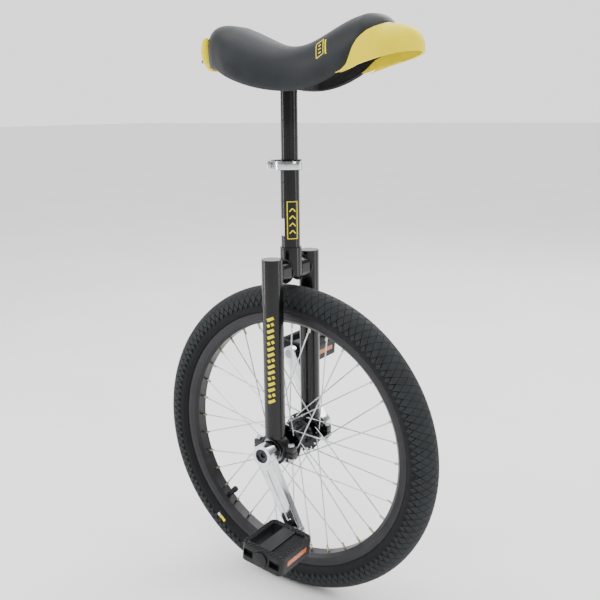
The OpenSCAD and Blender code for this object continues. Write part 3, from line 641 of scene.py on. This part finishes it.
def handle_crown(x):
    m = x / MM
    crown = z_on_axle(605.4 + 12 + 18 * math.sqrt(max(0, 1 - (max(0, m - 150) / 66) ** 2)))
    shelf = min(crown, LOW_Z + 86 * MM)
    return crown + (shelf - crown) * ease((m - 160) / 14)


def front_handle():
    """A hollow hook of moulded plastic round the saddle's nose, open below for the hand."""
    start = 106 * MM
    rays = []
    side_steps, end_steps = 26, 44
    for i in range(side_steps):
        x = start + (TIP_X - start) * i / side_steps
        rays.append((Vector((x, 0, 0)), Vector((x, TIP_R, 0)), 0.0))
    for i in range(end_steps + 1):
        a = math.pi / 2 - math.pi * i / end_steps
        rays.append((Vector((TIP_X, 0, 0)),
                     Vector((TIP_X + TIP_R * math.cos(a), TIP_R * math.sin(a), 0)),
                     math.cos(a)))
    for i in range(side_steps - 1, -1, -1):
        x = start + (TIP_X - start) * i / side_steps
        rays.append((Vector((x, 0, 0)), Vector((x, -TIP_R, 0)), 0.0))
    rings = 18
    points = []
    for spine, edge, endness in rays:
        power = 2.7 + 0.2 * endness
        foot = handle_foot(edge.x)

        def height(share, spine=spine, edge=edge, foot=foot, power=power):
            place = spine + (edge - spine) * share
            return place, foot + (handle_crown(place.x) - foot) * dome(share, power)

        inner, outer = 0.0, 1.0
        for step in range(40):
            share = (inner + outer) / 2
            place, z = height(share)
            if z > bare_z(place.x):
                inner = share
            else:
                outer = share
        for ring in range(rings + 1):
            # Rings are spread evenly over the arc between the foot and the bare edge.
            a0 = math.asin(min(1, inner))
            a = math.pi / 2 + (a0 - math.pi / 2) * ring / rings
            place, z = height(math.sin(a))
            points.append((place.x, place.y, z))
    faces = lattice(len(rays), rings + 1)
    handle = tidy_mesh(from_faces("front_handle_shell", points, faces), 0.0001)
    modified(handle, "SOLIDIFY", thickness=HANDLE_WALL, offset=-1, use_even_offset=True)
    modified(handle, "BEVEL", width=1.2 * MM, segments=2, limit_method="ANGLE",
             angle_limit=math.radians(50))
    modified(handle, "SUBSURF", levels=1, render_levels=1)
    return smooth(handle, 60)


handle = front_handle()
finished(handle, "saddle", YELLOW, ("front_handle",))


def handle_lining(side):
    """The handle's inner flap, which passes under the cover's edge and lies inside the nose."""
    columns, rows = 30, 6
    points = []
    for i in range(columns + 1):
        x = (100 + 64 * i / columns) * MM
        y = side * (TIP_R - 14 * MM + 10 * MM * ease((x - 118 * MM) / (30 * MM)))
        foot = handle_foot(x) + 0.6 * MM
        tall = 23 * MM
        end = math.sqrt(max(0, 1 - max(0, 1 - i / 6) ** 2))
        for j in range(rows + 1):
            share = 0.45 + (j / rows - 0.45) * end
            points.append((x, y, foot + tall * share))
    faces = lattice(columns + 1, rows + 1)
    lining = tidy_mesh(from_faces("handle_lining_" + side_name(side), points, faces), 0.00001)
    modified(lining, "SOLIDIFY", thickness=2.5 * MM, offset=0)
    modified(lining, "BEVEL", width=0.6 * MM, segments=2, limit_method="ANGLE",
             angle_limit=math.radians(50))
    smooth(tidy_mesh(lining, 0.00001), 40)
    return finished(lining, "saddle", YELLOW)


handle_lining(1)
handle_lining(-1)


def rear_bumper():
    """A shield of moulded plastic wrapped round the back of the saddle, narrow at its foot."""
    low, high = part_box("rear_bumper")
    across, up = 32, 14
    points = []
    for layer in range(2):
        for j in range(up + 1):
            v = j / up
            spread = math.radians(20 + 26 * v ** 0.6)
            bulge = math.sin(math.pi * (0.1 + 0.8 * v)) ** 0.7
            for i in range(across + 1):
                u = 2 * i / across - 1
                fade = math.sqrt(1 - u ** 4)
                inside = REAR_R - (5.5 - 3 * v) * MM
                r = inside if layer == 0 else inside + (2 + 14.1 * bulge * (0.2 + 0.8 * fade)) * MM
                a = math.pi + spread * u
                z = low.z - 2 * MM + (high.z - low.z + 3 * MM) * v
                points.append((SPINE_BACK + r * math.cos(a), r * math.sin(a), z))
    row, layer_size = across + 1, (across + 1) * (up + 1)
    faces = [quad[::-1] for quad in lattice(up + 1, row)]
    faces += lattice(up + 1, row, first=layer_size)
    rim = [j * row for j in range(up + 1)] + [up * row + i for i in range(1, row)]
    rim += [j * row + across for j in range(up - 1, -1, -1)] + list(range(across - 1, 0, -1))
    for a, b in zip(rim, rim[1:] + rim[:1]):
        faces.append((a, b, b + layer_size, a + layer_size))
    bumper = tidy_mesh(from_faces("rear_bumper_shell", points, faces), 0.00001)
    modified(bumper, "BEVEL", width=1.2 * MM, segments=3, limit_method="ANGLE",
             angle_limit=math.radians(50))
    return smooth(bumper, 50)


finished(rear_bumper(), "saddle", YELLOW, ("rear_bumper",))


# ---- pedal treads -----------------------------------------------------------

SQUARE = ((-1, -1), (1, -1), (1, 1), (-1, 1))
LOZENGE = ((-1, 0), (0, -1), (1, 0), (0, 1))

# In mm. Heights are over the pedal's middle plane.
TOOTH_PITCH, STUD_PITCH = 6.6, 2.15
TOOTH_FOOT, TOOTH_TOP = 13.2, 14.7
PLATE_FOOT, PLATE_TOP = 6.5, 10.6
STUD_FOOT, STUD_TOP = 10.4, 11.9


def boss(points, faces, corners, place, half, top_share, foot, top):
    """Adds a small four-sided block standing on a face, narrower at its top."""
    first = len(points)
    for z, share in ((foot, 1.0), (top, top_share)):
        points += [(place[0] + x * half[0] * share, place[1] + y * half[1] * share, z)
                   for x, y in corners]
    order = ((3, 2, 1, 0), (4, 5, 6, 7), (0, 1, 5, 4), (1, 2, 6, 5), (2, 3, 7, 6), (3, 0, 4, 7))
    faces += [tuple(first + i for i in quad) for quad in order]


def pedal_tread(side, tilt_degrees):
    """The grip of one pedal, top and bottom: toothed border and studded plate."""
    label = side_name(side)
    low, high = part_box("pedal_body_" + label)
    centre = (low + high) / 2
    points, faces = [], []
    for face in (1, -1):
        teeth = []
        for i in range(9):
            step = (i - 4) * TOOTH_PITCH
            teeth += [(step, y, 2.3, 1.5) for y in (-37.6, 37.6)]
            teeth += [(step + TOOTH_PITCH / 2, y, 2.3, 1.4) for y in (-33.4, 33.4) if i < 8]
        for i in range(10):
            step = (i - 4.5) * TOOTH_PITCH
            teeth += [(x, step, 1.5, 2.3) for x in (-33.8, 33.8)]
            teeth += [(x, step + TOOTH_PITCH / 2, 1.3, 2.3) for x in (-29.9, 29.9) if i < 9]
        teeth += [(x, y, 1.8, 1.8) for x in (-30.6, 30.6) for y in (-34.8, 34.8)]
        for x, y, half_x, half_y in teeth:
            boss(points, faces, SQUARE, (x, y), (half_x, half_y), 0.82,
                 face * TOOTH_FOOT, face * TOOTH_TOP)
        boss(points, faces, SQUARE, (18.2, 0), (10.4, 31.2), 1.0,
             face * PLATE_FOOT, face * PLATE_TOP)
        for i in range(9):
            for j in range(27):
                place = (9.6 + STUD_PITCH * i, -28.0 + STUD_PITCH * j)
                if (i + j) % 2 == 0:
                    boss(points, faces, LOZENGE, place, (1.9, 1.9), 0.25,
                         face * STUD_FOOT, face * STUD_TOP)
    points = [tuple(c * MM for c in p) for p in points]
    tread = from_faces("pedal_tread_" + label, points, faces)
    turn = Matrix.Rotation(math.radians(tilt_degrees), 4, "Y")
    tread.data.transform(Matrix.Translation(centre) @ turn)
    tidy_mesh(tread, 0.000001)
    modified(tread, "BEVEL", width=0.25 * MM, segments=1, limit_method="ANGLE",
             angle_limit=math.radians(50))
    smooth(tread, 30)
    return finished(tread, "pedal_" + label, PEDAL_PLASTIC)


pedal_tread(-1, 7)
pedal_tread(1, 4)


# ---- weld beads -------------------------------------------------------------

CROWN_MID_Z = z_on_axle(275)
CROWN_HALF_X, CROWN_HALF_Z = 11.7 * MM, 17.2 * MM
LEG_Y, LEG_R = 50 * MM, 15.9 * MM
SLEEVE_R = 16.6 * MM
RIPPLES = 46


def weld_bead(name, y_at):
    """A rippled bead round an oval crown tube, where it meets another tube's wall."""
    points = []
    around, section = 138, 10
    for i in range(around):
        t = 2 * math.pi * i / around
        out = Vector((math.cos(t), 0, math.sin(t)))
        x, z = CROWN_HALF_X * math.cos(t), CROWN_HALF_Z * math.sin(t)
        place = Vector((x, y_at(x), CROWN_MID_Z + z))
        r = (2.1 + 0.25 * math.sin(RIPPLES * t)) * MM
        for j in range(section):
            a = 2 * math.pi * j / section
            points.append(tuple(place + out * r * math.cos(a)
                                + Vector((0, r * math.sin(a), 0))))
    faces = lattice(around, section, True, True)
    bead = smooth(tidy_mesh(from_faces(name, points, faces)), 60)
    return finished(bead, "frame", PAINT)


for side in (1, -1):
    weld_bead("leg_bead_" + side_name(side),
              lambda x, s=side: s * (LEG_Y - math.sqrt(LEG_R ** 2 - x * x)))
    weld_bead("sleeve_bead_" + side_name(side),
              lambda x, s=side: s * math.sqrt(SLEEVE_R ** 2 - x * x))


# ---- printed films: plain shapes laid on the surfaces -------------------------

FILM_STEP = 1.5  # mm between the points along a stroke
FILM_LIFT = 0.1 * MM
FILM_WALL = 0.15 * MM
THROW = 0.1  # how far off the surface a point is thrown from, in metres


def film(name, target, centre, outwards, along, strokes, body, material):
    """Lays strokes (start, end, width in mm) on a surface, thrown at it along one direction."""
    outwards = outwards.normalized()
    across = along.cross(outwards).normalized()
    along = outwards.cross(across).normalized()
    mesh = target.data
    surface = BVHTree.FromPolygons([v.co for v in mesh.vertices],
                                   [tuple(p.vertices) for p in mesh.polygons])
    points, faces = [], []
    for u0, v0, u1, v1, width in strokes:
        start, end = Vector((u0, v0)), Vector((u1, v1))
        way = (end - start).normalized()
        normal = Vector((-way.y, way.x)) * width / 2
        steps, rows = max(2, int((end - start).length / FILM_STEP)), 7
        first, whole = len(points), True
        patch = []
        for i in range(steps + 1):
            for j in range(rows):
                flat = start + (end - start) * i / steps + normal * (2 * j / (rows - 1) - 1)
                above = centre + across * flat.x * MM + along * flat.y * MM + outwards * THROW
                hit, facing = surface.ray_cast(above, -outwards)[:2]
                whole = whole and hit is not None
                patch.append(tuple(hit + facing * FILM_LIFT) if hit else None)
        if not whole:
            continue
        points += patch
        faces += lattice(steps + 1, rows, first=first)
    sheet = from_faces(name, points, faces)
    modified(sheet, "SOLIDIFY", thickness=FILM_WALL, offset=0)
    tidy_mesh(sheet, 0.000001)
    return finished(smooth(sheet, 40), body, material)


def bearing(degrees):
    """A level direction, turned from the rider's right towards the front."""
    a = math.radians(degrees)
    return Vector((math.sin(a), -math.cos(a), 0))


UP = Vector((0, 0, 1))

leg_strokes = []
for i in range(15):
    v = -66 + 9.2 * i
    if i % 3 == 1:
        leg_strokes += [(-5.0, v - 1, -1.2, v + 1.2, 4.6), (1.4, v + 1.6, 5.0, v + 3.2, 4.6)]
    else:
        leg_strokes.append((-5.0, v - 1, 5.0, v + 3.2, 4.6))
film("leg_graphic", nodes["fork_leg_right"], Vector((0, -LEG_Y, 0.398)), bearing(20), UP,
     leg_strokes, "frame", DECAL_YELLOW)

tube_strokes = [(-7.5, -28, -7.5, 28, 1.1), (7.5, -28, 7.5, 28, 1.1), (-8, -28, 8, -28, 1.1),
                (-8, 28, 8, 28, 1.1)]
for v in (-20, -9, 2, 13):
    tube_strokes += [(-4.6, v, 0, v + 5, 1.6), (0, v + 5, 4.6, v, 1.6)]
film("tube_graphic", nodes["seat_tube"], Vector((0, 0, 0.604)), bearing(47), UP, tube_strokes,
     "frame", DECAL_YELLOW)
film("tube_label", nodes["seat_tube"], Vector((0, 0, 0.593)), bearing(-24), UP,
     [(0, -13, 0, 13, 9)], "frame", LABEL_WHITE)

lean = Vector((-0.25, 0, 1))
flank_strokes = [(-9, -11, -9, 9, 1.2), (-9, 9, 3, 13, 1.2), (3, 13, 3, -7, 1.2),
                 (3, -7, -9, -11, 1.2), (-5, -5, -1, -3.6, 1.6), (-5, 0, -1, 1.4, 1.6),
                 (-5, 5, -1, 6.4, 1.6), (7, -9, 7, 11, 2.2)]
film("flank_graphic", cover, Vector((0.080, 0, 0.848)), bearing(0), lean, flank_strokes,
     "saddle", DECAL_YELLOW)

LABEL_R = 218.5 * MM
wall_way = math.radians(231)
wall = Vector((math.cos(wall_way), 0, math.sin(wall_way)))
film("sidewall_label", casing, AXLE + wall * LABEL_R, Vector((0, -1, 0)), wall,
     [(-9, 0, 3, 0, 5)], "wheel", DECAL_YELLOW)
film("sidewall_label_end", casing, AXLE + wall * LABEL_R, Vector((0, -1, 0)), wall,
     [(4, 0, 9, 0, 5)], "wheel", LABEL_WHITE)


# ---- floor, light and camera ------------------------------------------------

def studio():
    deselect()
    bpy.ops.mesh.primitive_plane_add(size=80, location=(0, 0, -0.0005))
    floor = settle(named("studio_floor"))
    material, tree, surface = finish("pale_floor", "#f4f4f3")
    noise = mottled(tree, surface, object_place(tree), 400, "#f1f1f0", "#f6f6f5")
    rough_range(tree, surface, noise.outputs["Fac"], 0.6, 0.7)
    floor.data.materials.append(material)
    world = bpy.data.worlds.new("studio_air")
    bpy.context.scene.world = world
    world.use_nodes = True
    # Dim around the front, bright behind: dark gloss stays dark and its edges catch light.
    tree = world.node_tree
    air = tree.nodes["Background"]
    air.inputs["Color"].default_value = (1, 1, 1, 1)
    direction = add(tree, "ShaderNodeTexCoord").outputs["Generated"]
    behind = add(tree, "ShaderNodeVectorMath", [(direction, 0)], operation="DOT_PRODUCT")
    behind.inputs[1].default_value = (-0.56, 0.83, 0)
    strength = add(tree, "ShaderNodeMapRange", [(behind.outputs["Value"], "Value")],
                   interpolation_type="SMOOTHSTEP", in_from_min=0.3, in_from_max=0.95,
                   in_to_min=0.28, in_to_max=1.7)
    height = add(tree, "ShaderNodeSeparateXYZ", [(direction, "Vector")]).outputs["Z"]
    overhead = add(tree, "ShaderNodeMapRange", [(height, "Value")],
                   interpolation_type="SMOOTHSTEP", in_from_min=0.35, in_from_max=0.9,
                   in_to_min=0, in_to_max=1.6)
    both = add(tree, "ShaderNodeMath", [(strength.outputs["Result"], 0),
                                        (overhead.outputs["Result"], 1)], operation="ADD")
    tree.links.new(both.outputs["Value"], air.inputs["Strength"])
    for place, aim, size, power in (
            ((-1.5, -0.9, 0.8), (0, 0, 0.7), 0.16, 12), ((1.6, 0.6, 0.8), (0, 0, 0.7), 0.16, 7),
            ((-1.6, -2.2, 2.1), (0, 0, 0.5), 1.2, 24), ((2.6, -1.2, 1.6), (0, 0, 0.5), 1.0, 16),
            ((0.2, 2.4, 2.4), (0, 0, 0.5), 1.8, 50), ((0.2, -0.2, 3.2), (0, 0, 0.4), 2.4, 50)):
        light = bpy.data.lights.new("softbox", "AREA")
        light.shape = "RECTANGLE"
        light.size = size
        light.size_y = max(size, 1.5)
        light.energy = power
        lamp = bpy.data.objects.new("softbox", light)
        lamp.location = place
        lamp.rotation_euler = (Vector(aim) - Vector(place)).to_track_quat("-Z", "Y").to_euler()
        bpy.context.scene.collection.objects.link(lamp)


def camera():
    # Seen from the front right, at about the height of the saddle.
    azimuth, elevation, roll = math.radians(33.94), math.radians(11.58), math.radians(-0.68)
    back = Vector((math.sin(azimuth) * math.cos(elevation),
                   -math.cos(azimuth) * math.cos(elevation), math.sin(elevation)))
    right = (-back).cross(Vector((0, 0, 1))).normalized()
    up = right.cross(-back)
    turned_right = right * math.cos(roll) + up * math.sin(roll)
    turned_up = up * math.cos(roll) - right * math.sin(roll)
    aside, above_axle, distance = 0.01251, 0.26788, 1.23331
    target = right * aside + Vector((0, 0, AXLE_Z + above_axle))
    lens = bpy.data.cameras.new("view")
    lens.lens = 47.99
    lens.sensor_width = 36
    lens.shift_x = 0.001
    lens.shift_y = -0.0435
    eye = bpy.data.objects.new("view", lens)
    turn = Matrix((turned_right, turned_up, back)).transposed().to_4x4()
    eye.matrix_world = Matrix.Translation(target + back * distance) @ turn
    bpy.context.scene.collection.objects.link(eye)
    bpy.context.scene.camera = eye


studio()
camera()
